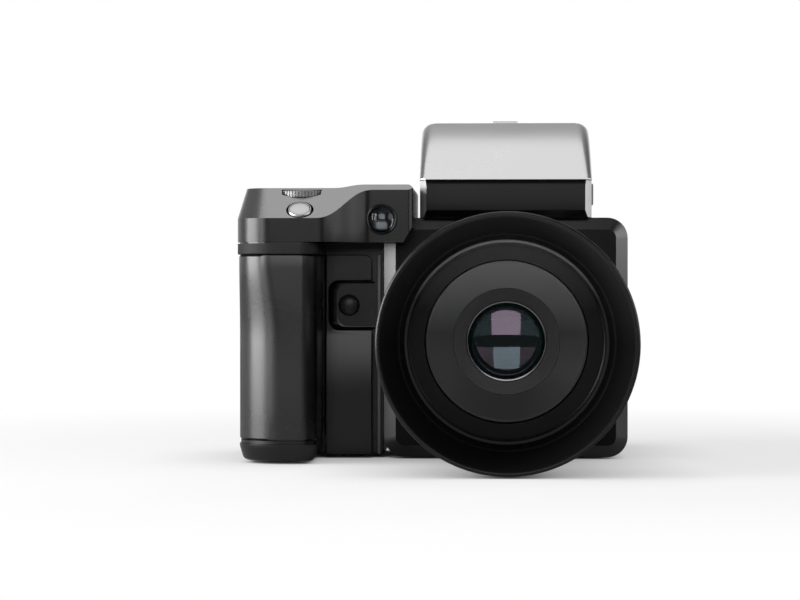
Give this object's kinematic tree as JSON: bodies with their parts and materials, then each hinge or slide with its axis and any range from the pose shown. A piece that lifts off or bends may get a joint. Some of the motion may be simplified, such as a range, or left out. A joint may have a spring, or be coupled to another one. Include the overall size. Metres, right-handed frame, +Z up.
{
  "type": "medium format digital camera",
  "caption": "Single lens reflex camera for a large sensor: hand grip, prism finder, lens with round hood and a digital back with a rear screen.",
  "frame": {"origin": "mouth of the large tripod socket in the base plate, below the lens axis", "axes": "+Z up, lens faces -Y, +X to the right as seen from the front"},
  "size_m": [0.15, 0.2059, 0.1341],
  "materials": {
    "dark_paint": "satin",
    "grey_paint": "satin",
    "silver": "satin anodised",
    "black_plastic": "fine grain",
    "rubber": "fine leather grain",
    "steel": "turned",
    "brass": "plain",
    "glass": "polished",
    "coated_glass": "coated",
    "black_glass": "polished",
    "mirror": "polished",
    "board": "lacquered",
    "barrel_black": "black anodised",
    "blade": "blackened",
    "battery": "plain"
  },
  "bodies": {
    "camera": {"mirror_box": "grey_paint", "front_plate": "black_plastic", "mount_ring": "steel", "mount_screws": "steel", "base_plate": "dark_paint", "tripod_bushes": "brass", "base_screws": "steel", "hand_housing": "black_plastic", "grip_rubber": "rubber", "top_cover": "silver", "lamp_bezel": "black_plastic", "lamp_lens": "glass", "display_glass": "black_glass", "main_board": "board", "focusing_screen": "glass", "shutter_frame": "black_plastic", "prism_housing": "dark_paint", "prism_roof": "silver", "prism_glass": "glass", "hot_shoe": "steel", "eyepiece_lens": "glass", "eyecup": "rubber", "back_housing": "dark_paint", "back_cover": "black_plastic", "image_sensor": "coated_glass", "screen_glass": "black_glass", "lens_barrel": "barrel_black", "lens_bayonet": "steel", "rear_element": "glass", "iris_housing": "barrel_black"},
    "shutter_button": {"shutter_button": "silver"},
    "front_dial": {"front_dial": "silver"},
    "rear_dial": {"rear_dial": "dark_paint"},
    "thumb_button": {"thumb_button": "black_plastic"},
    "lens_release": {"lens_release": "dark_paint"},
    "lens_lock": {"lens_lock_pin": "steel"},
    "mirror": {"mirror_carrier": "dark_paint", "mirror_glass": "mirror"},
    "blade_low": {"shutter_blade_1": "blade"},
    "blade_middle": {"shutter_blade_2": "blade"},
    "blade_top": {"shutter_blade_3": "blade"},
    "finder_latch": {"finder_latch": "black_plastic"},
    "diopter_knob": {"diopter_knob": "black_plastic"},
    "key_1": {"back_key_1": "black_plastic"},
    "key_2": {"back_key_2": "black_plastic"},
    "key_3": {"back_key_3": "black_plastic"},
    "key_4": {"back_key_4": "black_plastic"},
    "card_door": {"card_door": "black_plastic"},
    "back_latch": {"back_latch": "steel"},
    "battery": {"battery_pack": "battery", "battery_cap": "black_plastic"},
    "focus_ring": {"focus_ring": "barrel_black"},
    "front_group": {"front_cell": "barrel_black", "front_element": "coated_glass"},
    "hood": {"lens_hood": "black_plastic"},
    "iris_1": {"iris_blade_1": "blade"},
    "iris_2": {"iris_blade_2": "blade"},
    "iris_3": {"iris_blade_3": "blade"},
    "iris_4": {"iris_blade_4": "blade"},
    "iris_5": {"iris_blade_5": "blade"}
  },
  "joints": [
    {"name": "shutter_press", "type": "slide", "parent": "camera", "child": "shutter_button", "axis": [0, 0.6157, -0.788], "range_m": [0, 0.0012], "stiffness_N_per_m": 400},
    {"name": "front_dial_turn", "type": "hinge", "parent": "camera", "child": "front_dial", "pos_m": [-0.078, -0.04794, 0.101], "axis": [0, 0, 1], "continuous": true},
    {"name": "rear_dial_turn", "type": "hinge", "parent": "camera", "child": "rear_dial", "pos_m": [-0.0827, 0.0145, 0.092], "axis": [0, 0, 1], "continuous": true},
    {"name": "thumb_press", "type": "slide", "parent": "camera", "child": "thumb_button", "axis": [0, -1, 0], "range_m": [0, 0.0008], "stiffness_N_per_m": 300},
    {"name": "lens_release_press", "type": "slide", "parent": "camera", "child": "lens_release", "axis": [0, 1, 0], "range_m": [0, 0.002], "stiffness_N_per_m": 500},
    {"name": "lens_lock_retract", "type": "slide", "parent": "camera", "child": "lens_lock", "axis": [0, 1, 0], "range_m": [0, 0.002]},
    {"name": "mirror_flip", "type": "hinge", "parent": "camera", "child": "mirror", "pos_m": [0, 0.0181, 0.071], "axis": [-1, 0, 0], "range_deg": [0, 45]},
    {"name": "curtain_drop", "type": "slide", "parent": "camera", "child": "blade_top", "axis": [0, 0, -1], "range_m": [0, 0.0445]},
    {"name": "curtain_middle", "type": "slide", "parent": "camera", "child": "blade_middle", "axis": [0, 0, -1], "range_m": [0, 0.0305]},
    {"name": "curtain_low", "type": "slide", "parent": "camera", "child": "blade_low", "axis": [0, 0, -1], "range_m": [0, 0.0165]},
    {"name": "finder_latch_press", "type": "slide", "parent": "camera", "child": "finder_latch", "axis": [-1, 0, 0], "range_m": [0, 0.001], "stiffness_N_per_m": 500},
    {"name": "diopter_turn", "type": "hinge", "parent": "camera", "child": "diopter_knob", "pos_m": [0.019, 0.046, 0.1157], "axis": [1, 0, 0], "range_deg": [-120, 120]},
    {"name": "key_1_press", "type": "slide", "parent": "camera", "child": "key_1", "axis": [0, -1, 0], "range_m": [0, 0.0005], "stiffness_N_per_m": 400},
    {"name": "key_2_press", "type": "slide", "parent": "camera", "child": "key_2", "axis": [0, -1, 0], "range_m": [0, 0.0005], "stiffness_N_per_m": 400},
    {"name": "key_3_press", "type": "slide", "parent": "camera", "child": "key_3", "axis": [0, -1, 0], "range_m": [0, 0.0005], "stiffness_N_per_m": 400},
    {"name": "key_4_press", "type": "slide", "parent": "camera", "child": "key_4", "axis": [0, -1, 0], "range_m": [0, 0.0005], "stiffness_N_per_m": 400},
    {"name": "card_door_open", "type": "hinge", "parent": "camera", "child": "card_door", "pos_m": [0.0446, 0.033, 0.0468], "axis": [0, 0, -1], "range_deg": [0, 100]},
    {"name": "back_latch_slide", "type": "slide", "parent": "camera", "child": "back_latch", "axis": [1, 0, 0], "range_m": [0, 0.004]},
    {"name": "battery_slide", "type": "slide", "parent": "camera", "child": "battery", "axis": [0, 0, -1], "range_m": [0, 0.07]},
    {"name": "focus_turn", "type": "hinge", "parent": "camera", "child": "focus_ring", "pos_m": [0, -0.065, 0.0468], "axis": [0, -1, 0], "range_deg": [0, 120]},
    {"name": "front_group_move", "type": "slide", "parent": "camera", "child": "front_group", "axis": [0, -1, 0], "range_m": [0, 0.0045]},
    {"name": "iris_1_turn", "type": "hinge", "parent": "camera", "child": "iris_1", "pos_m": [0.022, -0.055, 0.0468], "axis": [0, -1, 0], "range_deg": [0, 25]},
    {"name": "iris_2_turn", "type": "hinge", "parent": "camera", "child": "iris_2", "pos_m": [0.0068, -0.055, 0.06772], "axis": [0, -1, 0], "range_deg": [0, 25]},
    {"name": "iris_3_turn", "type": "hinge", "parent": "camera", "child": "iris_3", "pos_m": [-0.0178, -0.055, 0.05973], "axis": [0, -1, 0], "range_deg": [0, 25]},
    {"name": "iris_4_turn", "type": "hinge", "parent": "camera", "child": "iris_4", "pos_m": [-0.0178, -0.055, 0.03387], "axis": [0, -1, 0], "range_deg": [0, 25]},
    {"name": "iris_5_turn", "type": "hinge", "parent": "camera", "child": "iris_5", "pos_m": [0.0068, -0.055, 0.02588], "axis": [0, -1, 0], "range_deg": [0, 25]},
    {"name": "hood_twist", "type": "hinge", "parent": "camera", "child": "hood", "pos_m": [0, -0.093, 0.0468], "axis": [0, -1, 0], "range_deg": [0, 45]}
  ],
  "couplings": [
    {"joint": "lens_lock_retract", "follows": "lens_release_press", "ratio": 1},
    {"joint": "curtain_middle", "follows": "curtain_drop", "ratio": 0.68539},
    {"joint": "curtain_low", "follows": "curtain_drop", "ratio": 0.37079},
    {"joint": "front_group_move", "follows": "focus_turn", "m_per_rad": 0.0021486},
    {"joint": "iris_2_turn", "follows": "iris_1_turn", "ratio": 1},
    {"joint": "iris_3_turn", "follows": "iris_1_turn", "ratio": 1},
    {"joint": "iris_4_turn", "follows": "iris_1_turn", "ratio": 1},
    {"joint": "iris_5_turn", "follows": "iris_1_turn", "ratio": 1}
  ]
}
